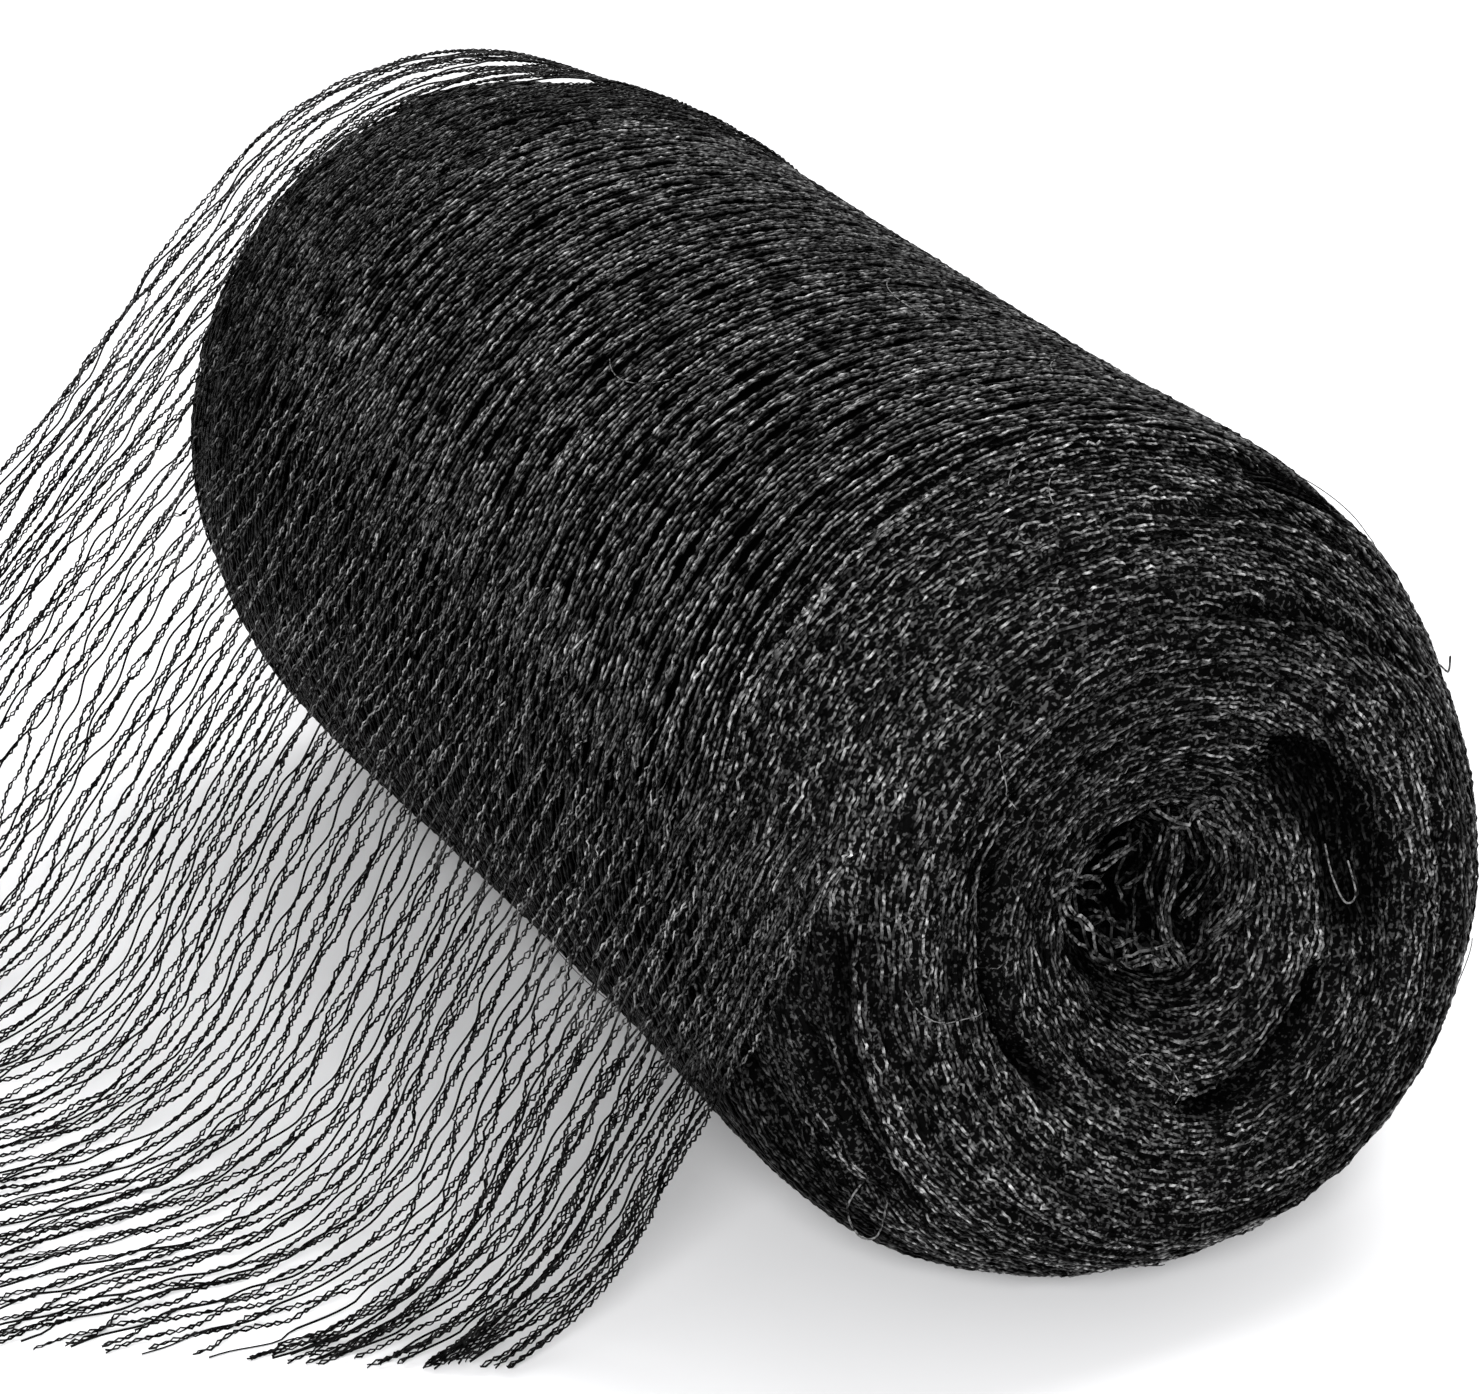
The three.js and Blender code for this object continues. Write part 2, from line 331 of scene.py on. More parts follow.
# Net bunched in the near hollow. Each fold is a number of strands and a path of points: x, height over
# the axis, depth
HOLLOW_FOLDS = (
    (11, ((-1, 19, 3), (-1, 14, 5), (-1, 8, 7), (-2, 3, 7), (-3, -2, 5), (-3, -6, 3))),
    (6, ((4, 19, 4), (8, 12, 6), (8, 7, 7), (4, 3, 7), (1, 1, 7))),
    (7, ((7, 20, 3), (12, 14, 4), (14, 8, 5), (12, 2, 5), (8, -1, 5), (4, -3, 4))),
    (3, ((-6, 22, 4), (-4, 21, 3), (0, 20, 2), (1, 21, 2), (3, 22, 2), (7, 20, 4))),
    (4, ((-16, 14, 6), (-11, 14, 8), (-5, 15, 9))),
    (4, ((-25, 14, 3), (-19, 12, 6), (-13, 8, 9))),
    (4, ((-23, 11, 3), (-21, 6, 3), (-19, 2, 2), (-16, -2, 1))),
    (6, ((-15, 2, 11), (-10, 0, 13), (-8, -4, 13), (-6, -5, 12))),
    (3, ((-8, 7, 10), (-3, 9, 10))),
    (6, ((-14, -1, 3), (-9, -2, 3), (-4, -4, 3))),
    (4, ((13, 3, 3), (9, 0, 3), (5, -2, 3))),
)
BUNCH_STRAND_GAP = 0.9
BUNCH_POINTS = 16
BUNCH_SWING = (6.0, 14.0)
BUNCH_WAVE = 0.8
BUNCH_WAVE_UP = 0.6
BUNCH_RAISE = 1.0
BUNCH_SAG = 0.35
BUNCH_PLAY = 0.8
# Tone of a fold, and its painted shade: how much darker it gets, from what depth and over what distance
BUNCH_TONE = 0.5
BUNCH_DARKENING = 0.3
BUNCH_DARK_START = 3.0
BUNCH_DARK_REACH = 9.0
# Direction out of the near end
NEAR_END_OUT = (0.0, -1.0, 0.2)

# Loose loops of yarn on the near end, as points: x, height over the axis, depth
STRAY_LOOPS = (
    ((30.5, 7, 6), (29.5, 2.5, 3), (29.5, -0.5, 0), (31, 1, -1), (32, 5.5, 2)),
    ((-57, -37, 16), (-62, -41, 15), (-61, -46, 14), (-57.5, -47, 14), (-54, -43, 16)),
    ((44, 40, 2), (48, 36, 0), (53, 36, 3), (57, 33, 5), (60, 34, 8)),
)

# Yarn materials. Columns: darkest and lightest colour, least and most roughness, specular level and
# the noise value where specks start
# The tone attribute, which carries painted glints and painted shade, blends each yarn from its darkest to
# its lightest colour
YARN_FINISHES = {
    "packed_net": (0.0003, 0.058, 0.75, 0.95, 0.002, 0.56),
    "wound_yarn": (0.0003, 0.52, 0.25, 0.45, 0.004, 0.38),
    "loose_yarn": (0.0003, 0.36, 0.25, 0.45, 0.004, 0.38),
}
LOOK_INPUTS = (
    ("Tone", "NodeSocketFloat"),
    ("Dark", "NodeSocketColor"),
    ("Light", "NodeSocketColor"),
    ("Smoothest", "NodeSocketFloat"),
    ("Dullest", "NodeSocketFloat"),
    ("Speck Start", "NodeSocketFloat"),
)
LOOK_OUTPUTS = (
    ("Color", "NodeSocketColor"),
    ("Roughness", "NodeSocketFloat"),
    ("Grain", "NodeSocketFloat"),
)
# Scale and detail of each noise
CLOUD_NOISE = (45.0, 3.0)
SPECK_NOISE = (1200.0, 1.0)
FILAMENT_NOISE = (2600.0, 2.0)
NOISE_RANGE = (0.3, 0.7)
CLOUD_TONES = (0.4, 0.6)
SPECK_END = 0.66
SPECK_TONES = (0.08, 2.0)
BUMP_STRENGTH = 0.35
BUMP_DEPTH = 0.1

# Light and floor, in metres
FLOOR_SIZE = 4.0
FLOOR_COLOUR = (0.75, 0.75, 0.76, 1.0)
FLOOR_ROUGHNESS = 0.7
WORLD_STRENGTH = 0.75
# Columns: name, place, aim, size and power
LAMPS = (
    ("key_light", (0.4, 0.1, 1.25), (0.0, 0.0, 0.08), 0.8, 11.0),
    ("front_light", (-0.7, -0.95, 0.8), (0.0, -0.05, 0.07), 0.6, 22.0),
    ("back_light", (0.1, 0.7, 1.3), (0.0, 0.0, 0.1), 1.0, 5.0),
)


# Small helpers

def smooth(value):
    """Eased step from 0 to 1."""
    t = np.clip(value, 0.0, 1.0)
    return t * t * (3.0 - 2.0 * t)


def unit(vectors):
    """Vectors scaled to length 1."""
    lengths = np.linalg.norm(vectors, axis=-1, keepdims=True)
    return vectors / np.maximum(lengths, TINY)


def catmull_rom(table, steps):
    """Points of the smooth curve through a table's rows."""
    spans = len(table) - 1
    position = np.linspace(0.0, spans, spans * steps + 1)
    start = np.minimum(position.astype(int), spans - 1)
    t = (position - start)[:, None]
    first = table[start]
    second = table[start + 1]
    before = table[np.maximum(start - 1, 0)]
    after = table[np.minimum(start + 2, spans)]
    leave = (second - before) / 2.0
    arrive = (after - first) / 2.0
    cubic = 2.0 * first - 2.0 * second + leave + arrive
    square = 3.0 * second - 3.0 * first - 2.0 * leave - arrive
    return cubic * t**3 + square * t**2 + leave * t + first


def running_length(points):
    """Distance along a row of points."""
    steps = np.linalg.norm(np.diff(points, axis=0), axis=1)
    return np.concatenate(([0.0], np.cumsum(steps)))


def drape_column(share, column):
    """One column of the drape table at a share of the width."""
    return np.interp(share, DRAPE[:, 0], DRAPE[:, column])


# Form of the roll

def girth(along):
    """Share of full size: slim in the middle, largest at the far end."""
    t = np.clip(along / ROLL_LENGTH, 0.0, 1.0)
    return 1.0 + FAR_SWELL * t - WAIST * 4.0 * t * (1.0 - t)


def lean(along, across, up):
    """Shift along the axis that tips the near end back at the top."""
    fade = 1.0 - np.clip(along / ROLL_LENGTH, 0.0, 1.0)
    return fade * (LEAN_ACROSS * across + LEAN_UP * up)


def lump(along, angle):
    """Slow unevenness of the wound side."""
    return sum(
        height * np.sin(waves * angle + along / reach + start)
        for height, waves, reach, start in LUMP_WAVES
    )


def crease_depth(creases, radius, angle):
    """Depth of the creases at a place on an end."""
    depth = np.zeros_like(radius)
    for degrees, middle, drift, half_length, deepest, half_width in creases:
        turn = (np.degrees(angle) - degrees + 180.0) % 360.0 - 180.0
        along = smooth(CREASE_TAPER * (1.0 - np.abs(turn) / half_length))
        offset = (radius - middle - drift * turn) / half_width
        depth = depth + deepest * along / (1.0 + offset**4)
    return depth


def turn_wobble(angle):
    """Unevenness of the spiral of turns."""
    return TURN_WOBBLE * sum(share * np.sin(waves * angle + start) for share, waves, start in WOBBLE_WAVES)


def turn_relief(radius, angle):
    """Rounded top and sharp valley of each turn, from 1 to -1."""
    turns = (radius + turn_wobble(angle)) / TURN_PITCH - angle / (2 * math.pi)
    short, long = RELIEF_REACHES
    change = RELIEF_CHANGE * np.sin(2.0 * angle + radius / short) * np.sin(angle - radius / long + 1.0)
    return (RELIEF_BASE + change) * (2.0 * np.abs(np.cos(math.pi * turns)) ** TURN_ROUNDNESS - 1.0)


def roll_point(along, radius, angle):
    """Place of a point of the outline at an angle around the roll."""
    size = girth(along)
    across = radius * size * np.cos(angle)
    up = radius * size * np.sin(angle)
    y = NEAR_RIM_Y + along + lean(along, across, up)
    z = ROLL_RADIUS * size + up - FLAT_SPOT_DEPTH
    return np.stack([across, y, z], axis=-1)


def make_outline():
    """Finely sampled outline: place along it, axis distance, radius, ridge and outward direction."""
    points = catmull_rom(PROFILE[:, :2], OUTLINE_STEPS)
    rows = np.linspace(0.0, len(PROFILE) - 1.0, len(points))
    place = running_length(points)
    heading = unit(np.gradient(points, place, axis=0))
    return {
        "place": place,
        "along": points[:, 0],
        "radius": points[:, 1],
        "ridge": np.interp(rows, np.arange(len(PROFILE)), PROFILE[:, 2]),
        "out_along": -heading[:, 1],
        "out_radius": heading[:, 0],
        "near_rim": int(np.argmin(points[: len(points) // 2, 0])),
        "far_rim": int(np.argmax(points[:, 0])),
    }


OUTLINE = make_outline()


def outline_place(rows, radius):
    """Place along the outline where an end has a radius, read between the rows of the table."""
    first, last = rows
    radii = PROFILE[first:last + 1, 1]
    order = np.argsort(radii)
    row = np.interp(radius, radii[order], np.arange(first, last + 1)[order])
    return np.interp(row * OUTLINE_STEPS, np.arange(len(OUTLINE["place"])), OUTLINE["place"])


def on_outline(place, column):
    """One value of the outline at a place along it."""
    return np.interp(place, OUTLINE["place"], OUTLINE[column])


def crease_at(place, angle):
    """Depth of the creases at a place on the wound surface."""
    radius = on_outline(place, "radius")
    along = on_outline(place, "along")
    near = crease_depth(NEAR_CREASES, radius, angle)
    far = crease_depth(FAR_CREASES, radius, angle)
    facing = np.clip(np.abs(on_outline(place, "out_along")) * CREASE_FACING, 0.0, 1.0)
    return np.where(along < ROLL_LENGTH / 2, near, far) * facing


def surface(place, angle, lift):
    """Point of the wound surface, lifted off it by a distance."""
    along = on_outline(place, "along")
    radius = on_outline(place, "radius")
    out_along = on_outline(place, "out_along")
    out_radius = on_outline(place, "out_radius")
    raised = on_outline(place, "ridge") * turn_relief(radius, angle) - crease_at(place, angle) + lift
    side = lump(along, angle) * np.clip((radius - LUMP_START) / LUMP_REACH, 0.0, 1.0)
    return roll_point(along + raised * out_along, radius + raised * out_radius + side, angle)


# Meshes from arrays

def mesh_piece(name, points, triangles, tone):
    """Mesh object in metres with a tone for each point, which carries painted glints and painted shade, and
    flat facets, like those of tape yarn.
    """
    mesh = bpy.data.meshes.new(name)
    mesh.vertices.add(len(points))
    mesh.vertices.foreach_set("co", (points * MM).astype(np.float32).ravel())
    mesh.loops.add(triangles.size)
    mesh.loops.foreach_set("vertex_index", triangles.astype(np.int32).ravel())
    mesh.polygons.add(len(triangles))
    mesh.polygons.foreach_set("loop_start", np.arange(0, triangles.size, 3, dtype=np.int32))
    mesh.polygons.foreach_set("use_smooth", np.zeros(len(triangles), dtype=bool))
    layer = mesh.attributes.new("tone", "FLOAT", "POINT")
    layer.data.foreach_set("value", tone.astype(np.float32))
    mesh.update(calc_edges=True)
    mesh.validate()
    piece = bpy.data.objects.new(name, mesh)
    bpy.context.scene.collection.objects.link(piece)
    return piece


def join_parts(parts):
    """One set of points, triangles and tones from several."""
    points = np.concatenate([part[0] for part in parts])
    counts = [len(part[0]) for part in parts]
    starts = np.concatenate(([0], np.cumsum(counts)[:-1]))
    triangles = np.concatenate([part[1] + start for part, start in zip(parts, starts)])
    tone = np.concatenate([part[2] for part in parts])
    return points, triangles, tone


def strand_frames(points, out):
    """Direction along a strand, across it and out of the net at each point."""
    along = unit(np.gradient(points, axis=0))
    across = unit(np.cross(out, along))
    return along, across, np.cross(along, across)


def stroked_yarn(points, out, yarn, shade, rng):
    """One yarn of the wound knit, which wavers and dips between stitches: painted glints of random strength
    on its stitches, painted shade in its dips.
    """
    radius, unevenness, skew = yarn
    along, across, up = strand_frames(points, out)
    count = len(points)
    place = np.arange(count) + rng.integers(0, 2)
    beat = place % 2
    lean_over = unevenness * rng.normal(0.0, 1.0, count)
    rise = STROKE_RISE[beat] + rng.uniform(-STROKE_PLAY, STROKE_PLAY, count)
    slip = rng.uniform(-STROKE_SLIP, STROKE_SLIP, count)
    path = points + lean_over[:, None] * across + rise[:, None] * up + slip[:, None] * along
    # Painted glint of a random strength for each stitch
    painted_glint = rng.uniform(0.0, 1.0, count // 2 + 2)[place // 2] ** skew
    return yarn_tube(path, across, up, radius, shade * painted_glint * STROKE_TONE[beat])


def yarn_tube(path, across, up, radius, tone):
    """Closed three-sided tube along a path, with painted light on its flat top and painted shade on its
    underside.
    """
    count = len(path)
    turns = np.radians(YARN_CORNERS)
    away = np.cos(turns)[None, :, None] * across[:, None] + np.sin(turns)[None, :, None] * up[:, None]
    points = (path[:, None] + np.reshape(radius, (-1, 1, 1)) * away).reshape(-1, 3)
    here = np.arange(count - 1)[:, None] * 3 + np.arange(3)[None]
    beside = np.arange(count - 1)[:, None] * 3 + np.array([1, 2, 0])[None]
    lower = np.stack([here, beside, beside + 3], axis=-1).reshape(-1, 3)
    upper = np.stack([here, beside + 3, here + 3], axis=-1).reshape(-1, 3)
    last = 3 * (count - 1)
    caps = np.array([(0, 2, 1), (last, last + 1, last + 2)])
    tones = np.outer(tone * np.ones(count), CORNER_TONES).ravel()
    return points, np.concatenate([lower, upper, caps]), tones


def at_places(line, place, places):
    """A line's points or directions at new places along it."""
    return np.stack([np.interp(places, place, line[:, axis]) for axis in range(3)], axis=1)


def even_steps(points, out, step):
    """The same line with points at even distances, and its outward directions there."""
    place = running_length(points)
    count = max(FEWEST_STEPS, int(round(place[-1] / step)))
    places = np.linspace(0.0, place[-1], count + 1)
    return at_places(points, place, places), at_places(out, place, places)


def net_steps(points, columns, hidden, step):
    """A line of the net with coarse steps up to a length that is tucked into the roll, then even ones."""
    place = running_length(points)
    coarse = np.arange(0.0, hidden - COARSE_STEP / 2.0, COARSE_STEP)
    count = int(round((place[-1] - hidden) / step))
    places = np.concatenate([coarse, np.linspace(hidden, place[-1], count + 1)])
    table = np.concatenate([points, columns], axis=1)
    return np.stack([np.interp(places, place, table[:, row]) for row in range(table.shape[1])], axis=1)


def yarn_chain(centre, facing, shade, rng):
    """Two yarns that cross at each stitch around an eyelet of uneven width, with painted glints where on top
    and painted shade where underneath.
    """
    count = len(centre)
    along, across, up = strand_frames(centre, facing)
    steps = np.arange(count)
    opening = rng.uniform(*EYELET_RANGE, count)[steps // 2]
    phase = 0.5 * math.pi * (steps + 0.5)
    _, _, skew = SIDE_YARN
    parts = []
    for side in (0.0, math.pi):
        sway = NET_SPREAD * opening * rng.uniform(*SWAY_RANGE, count) * np.sin(phase + side)
        height = np.cos(phase + side)
        sway = sway + rng.uniform(-CHAIN_PLAY, CHAIN_PLAY, count)
        slip = rng.uniform(-CHAIN_SLIP, CHAIN_SLIP, (count, 1)) * along
        path = centre + sway[:, None] * across + CHAIN_RISE * height[:, None] * up + slip
        # Painted glint of a random strength for each stitch, and painted shade where the yarn passes under
        # the other
        painted_glint = (rng.uniform(0.0, 1.0, count) ** skew)[(steps + 1) // 2]
        tone = shade * painted_glint * np.where(height > 0.0, 1.0, UNDER_TONE)
        radius = YARN_RADIUS * rng.uniform(*RADIUS_RANGE, count)
        parts.append(yarn_tube(path, across, up, radius, tone))
    return join_parts(parts)


def keep_off_floor(part, lowest):
    """The same part with nothing lower than a height."""
    points, triangles, tone = part
    points[:, 2] = np.maximum(points[:, 2], lowest)
    return points, triangles, tone


# Wound roll

def make_wound_body():
    """The roll's body: its outline extruded point by point, spun round the axis and shaped by its turns."""
    total = OUTLINE["place"][-1]
    places = np.linspace(0.0, total, int(total / BODY_RING_GAP) + 1)
    rows = np.stack([on_outline(places, "along"), on_outline(places, "radius")], axis=1)
    rows[0, 1] = 0.0
    rows[-1, 1] = 0.0
    bpy.ops.object.select_all(action="DESELECT")
    bpy.ops.mesh.primitive_plane_add(size=MM)
    body = bpy.context.object
    body.name = "wound_body"
    bpy.ops.object.mode_set(mode="EDIT")
    bpy.ops.mesh.select_all(action="SELECT")
    bpy.ops.mesh.merge(type="CENTER")
    bpy.ops.transform.translate(value=(rows[0, 1] * MM, rows[0, 0] * MM, 0.0))
    for along_step, radius_step in np.diff(rows, axis=0) * MM:
        step = {"value": (radius_step, along_step, 0.0)}
        bpy.ops.mesh.extrude_vertices_move(TRANSFORM_OT_translate=step)
    bpy.ops.mesh.select_all(action="SELECT")
    bpy.ops.mesh.spin(steps=BODY_SEGMENTS, angle=2 * math.pi, center=(0, 0, 0), axis=(0, 1, 0))
    bpy.ops.mesh.select_all(action="SELECT")
    bpy.ops.mesh.remove_doubles(threshold=WELD_DISTANCE * MM)
    bpy.ops.object.mode_set(mode="OBJECT")
    shape_body(body, rows, places)
    bpy.ops.object.mode_set(mode="EDIT")
    bpy.ops.mesh.select_all(action="SELECT")
    bpy.ops.mesh.normals_make_consistent(inside=False)
    bpy.ops.object.mode_set(mode="OBJECT")
    bpy.ops.object.shade_smooth()
    return body


def shape_body(body, rows, places):
    """Move the spun points out to the lumpy, creased surface."""
    count = len(body.data.vertices)
    flat = np.empty(count * 3, dtype=np.float32)
    body.data.vertices.foreach_get("co", flat)
    spun = flat.reshape(-1, 3).astype(float) / MM
    radius = np.hypot(spun[:, 0], spun[:, 2])
    angle = np.arctan2(spun[:, 2], spun[:, 0])
    miss = np.hypot(spun[:, 1:2] - rows[None, :, 0], radius[:, None] - rows[None, :, 1])
    place = places[np.argmin(miss, axis=1)]
    points = surface(place, angle, -BODY_INSET)
    points[:, 2] = np.maximum(points[:, 2], BODY_FLOOR_GAP)
    body.data.vertices.foreach_set("co", (points * MM).astype(np.float32).ravel())
    # Tone of the body: the painted shade of creases, valleys and hollows, on the ends only; the side stays
    # dark
    ends = np.clip(on_outline(place, "ridge"), 0.0, 1.0)
    layer = body.data.attributes.new("tone", "FLOAT", "POINT")
    layer.data.foreach_set("value", (ends * surface_shade(place, angle)).astype(np.float32))
    body.data.update()


def surface_shade(place, angle):
    """Painted shade of the wound surface: dark in the valleys between turns, in creases and deep in the
    hollows.
    """
    radius = on_outline(place, "radius")
    valley = 0.5 * (1.0 - turn_relief(radius, angle)) * on_outline(place, "ridge")
    creased = CREASE_SHADE * smooth(crease_at(place, angle) / DARK_CREASE)
    shade = (1.0 - creased) * (1.0 - VALLEY_SHADE * valley)
    return shade * (1.0 - HOLLOW_SHADE * smooth((DARK_HOLLOW_RADIUS - radius) / HOLLOW_FADE))


def over_surface(place, angle, lift):
    """Points lifted off the wound surface and their outward directions."""
    points = surface(place, angle, lift)
    return points, unit(surface(place, angle, lift + 1.0) - points)


def on_surface(place, angle, lift):
    """Points of a strand on the wound surface, its outward directions and its painted shade."""
    points, out = over_surface(place, angle, lift)
    # Painted shadow of the hanging net over the wound side
    net_shadow = (1.0 - UNDER_NET_SHADE) * net_shadow_mask(points[:, 1], angle)
    return points, out, surface_shade(place, angle) * (1.0 - net_shadow)


def net_shadow_mask(y, angle):
    """Painted shadow of the hanging net: how far it covers a place on the wound side, from 0 to 1."""
    share = np.clip((y - DRAPE[0, TOP_Y]) / NET_WIDTH, 0.0, 1.0)
    turn = (angle + math.pi / 2) % (2.0 * math.pi) - math.pi
    leave = np.radians(drape_column(share, LEAVE_DEGREES))
    beside = smooth((y - DRAPE[0, LEAVE_Y] + NET_EDGE_FADE) / NET_EDGE_FADE)
    hanging = smooth((turn - leave + LEAVE_LEAD) / LEAVE_FADE)
    return beside * hanging * smooth((UNDER_NET_END - turn) / UNDER_NET_FADE)


def slow_waves(count, steps, rng):
    """Sum of a few slow waves along a strand, from about -1 to 1."""
    total = np.zeros(len(steps))
    for _ in range(count):
        reach = rng.uniform(*WAVE_REACH)
        total = total + np.sin(2.0 * math.pi * steps / reach + rng.uniform(0.0, RANDOM_PHASE))
    return total / count**0.5


def ring_wave(crests, angle, rng):
    """Wave around the roll with a random number of crests and a random start."""
    return np.sin(rng.integers(*crests) * angle + rng.uniform(0.0, RANDOM_PHASE))


def make_side_knit(rng):
    """Pairs of yarns around the side of the roll, as two pieces of its length."""
    first = outline_place(NEAR_END_ROWS, END_OUTER_RADIUS)
    last = outline_place(FAR_END_ROWS, END_OUTER_RADIUS)
    lenses = round(2.0 * math.pi * ROLL_RADIUS / LENS_LENGTH)
    count = int(round((last - first) / SIDE_PITCH))
    strands = []
    for index in range(count + 1):
        middle = first + (last - first) * index / count
        around = 2.0 * math.pi * on_outline(middle, "radius")
        # From the bottom of the roll, around it and back
        angle = np.linspace(-0.5, 1.5, int(round(around / STROKE_STEP)) + 1) * math.pi
        deep = LENS_DEPTH * (1.0 + LENS_CHANGE * ring_wave(SLOW_CRESTS, angle, rng))
        zigzag = (-1) ** index * deep * np.sin(lenses * angle + LENS_SHIFT * index)
        drift = SIDE_DRIFT * ring_wave(SLOW_CRESTS, angle, rng)
        for column in PAIR_COLUMNS:
            ripple = SIDE_RIPPLE * ring_wave(RIPPLE_CRESTS, angle, rng)
            swell = sum(ring_wave(crests, angle, rng) for crests in SWELL_CRESTS) / len(SWELL_CRESTS)
            place = middle + column * SIDE_PITCH + zigzag + drift + ripple
            points, out, shade = on_surface(place, angle, SWELL_LIFT * swell)
            # Painted shade: lower-lying yarns are darker
            shade = shade * np.clip(SWELL_BASE + SWELL_SHADE * swell, *SHADE_LIMITS)
            yarn = stroked_yarn(points, out, SIDE_YARN, shade, rng)
            strands.append(keep_off_floor(yarn, KNIT_FLOOR_GAP))
    half = len(strands) // 2
    return [
        mesh_piece("near_side_knit", *join_parts(strands[:half])),
        mesh_piece("far_side_knit", *join_parts(strands[half:])),
    ]


def make_end_knit(name, rows, yarns, step, brightness, rng):
    """Yarns that follow the spiral of turns over one end and its rounded rim."""
    samples = slice(rows[0] * OUTLINE_STEPS, rows[1] * OUTLINE_STEPS + 1)
    order = np.argsort(OUTLINE["radius"][samples])
    radii = OUTLINE["radius"][samples][order]
    places = OUTLINE["place"][samples][order]
    inner, outer = np.interp((END_INNER_RADIUS, END_OUTER_RADIUS), radii, places)
    way = math.copysign(1.0, outer - inner)
    strands = []
    for index in range(yarns):
        first = TURN_PITCH * index / yarns
        turns = (abs(outer - inner) + END_OVERLAP - first) / TURN_PITCH
        fine = np.linspace(0.0, 2.0 * math.pi * turns, SPIRAL_POINTS)
        radius = on_outline(inner + way * (first + TURN_PITCH * fine / (2.0 * math.pi)), "radius")
        length = np.concatenate(([0.0], np.cumsum(np.diff(fine) * radius[1:])))
        steps = np.linspace(0.0, length[-1], int(length[-1] / step))
        angle = np.interp(steps, length, fine)
        sway = END_SWAY * slow_waves(END_SWAY_WAVES, steps, rng)
        level = END_LEVEL * slow_waves(END_LEVEL_WAVES, steps, rng)
        run = first + TURN_PITCH * angle / (2.0 * math.pi) - turn_wobble(angle) + sway
        place = inner + way * np.clip(run, -PAST_INNER, abs(outer - inner) + PAST_OUTER)
        points, out, shade = on_surface(place, angle, level - END_SINK)
        # Painted shade: lower-lying yarns are darker
        shade = shade * np.clip(1.0 + level, *SHADE_LIMITS)
        yarn = stroked_yarn(points, out, END_YARN, brightness * shade, rng)
        strands.append(keep_off_floor(yarn, KNIT_FLOOR_GAP))
    return mesh_piece(name, *join_parts(strands))


def near_end_point(across, up, depth):
    """Point of the near end, from its axis and its rim."""
    y = NEAR_RIM_Y + depth + lean(depth, across, up)
    return np.stack([across, y, ROLL_RADIUS - FLAT_SPOT_DEPTH + up], axis=-1)


def near_end_out(count):
    """Direction out of the near end for each of a number of points."""
    return np.tile(NEAR_END_OUT, (count, 1))


def make_hollow_folds(rng):
    """Folds of net bunched in the near hollow, with painted shade that darkens them where they lie deeper.
    """
    strands = []
    for count, path in HOLLOW_FOLDS:
        route = catmull_rom(np.array(path, dtype=float), BUNCH_POINTS)
        flow = unit(np.gradient(route, axis=0))
        for strand in range(count):
            shift = (strand - (count - 1) / 2.0) * BUNCH_STRAND_GAP
            swing = np.linspace(0.0, rng.uniform(*BUNCH_SWING), len(route)) + rng.uniform(0.0, RANDOM_PHASE)
            wave = BUNCH_WAVE * np.sin(swing)
            across = route[:, 0] - shift * flow[:, 1] + wave
            up = route[:, 1] + shift * flow[:, 0] + BUNCH_WAVE_UP * wave
            depth = route[:, 2] - BUNCH_RAISE + BUNCH_SAG * shift**2 + rng.uniform(-BUNCH_PLAY, BUNCH_PLAY)
            line = near_end_point(across, up, depth)
            points, out = even_steps(line, near_end_out(len(line)), STROKE_STEP)
            deep = np.interp(np.linspace(0.0, 1.0, len(points)), np.linspace(0.0, 1.0, len(depth)), depth)
            shade = BUNCH_TONE - BUNCH_DARKENING * smooth((deep - BUNCH_DARK_START) / BUNCH_DARK_REACH)
            strands.append(stroked_yarn(points, out, SIDE_YARN, shade, rng))
    return mesh_piece("hollow_folds", *join_parts(strands))


def make_stray_fibres(rng):
    """Fine fibres that stand off the wound surface, and loose loops of yarn on the near end."""
    parts = []
    share = np.linspace(0.0, 1.0, FIBRE_POINTS)
    total = OUTLINE["place"][-1]
    first, last = FIBRE_SPAN
    while len(parts) < FIBRE_COUNT:
        start = rng.uniform(0.0, total)
        if on_outline(start, "radius") < FIBRE_LEAST_RADIUS:
            continue
        length = rng.uniform(*FIBRE_LENGTHS)
        heading = rng.normal(0.0, FIBRE_TURN) + rng.normal(0.0, FIBRE_CURL) * share
        onward = np.cumsum(np.sin(heading)) * length / FIBRE_POINTS
        place = np.clip(start + onward, first * total, last * total)
        around = np.cumsum(np.cos(heading)) * length / FIBRE_POINTS
        angle = rng.uniform(0.0, RANDOM_PHASE) + around / on_outline(start, "radius")
        lift = FIBRE_GAP + rng.uniform(*FIBRE_LIFTS) * np.sin(math.pi * share)
        points, out = over_surface(place, angle, lift)
        _, across, up = strand_frames(points, out)
        fibre = yarn_tube(points, across, up, FIBRE_RADIUS, rng.uniform(*FIBRE_TONES))
        parts.append(keep_off_floor(fibre, KNIT_FLOOR_GAP))
    for path in STRAY_LOOPS:
        route = catmull_rom(np.array(path, dtype=float), LOOP_POINTS)
        points = near_end_point(route[:, 0], route[:, 1], route[:, 2])
        _, across, up = strand_frames(points, near_end_out(len(points)))
        parts.append(yarn_tube(points, across, up, LOOP_RADIUS, LOOP_TONE))
    return mesh_piece("stray_fibres", *join_parts(parts))


# Loose net

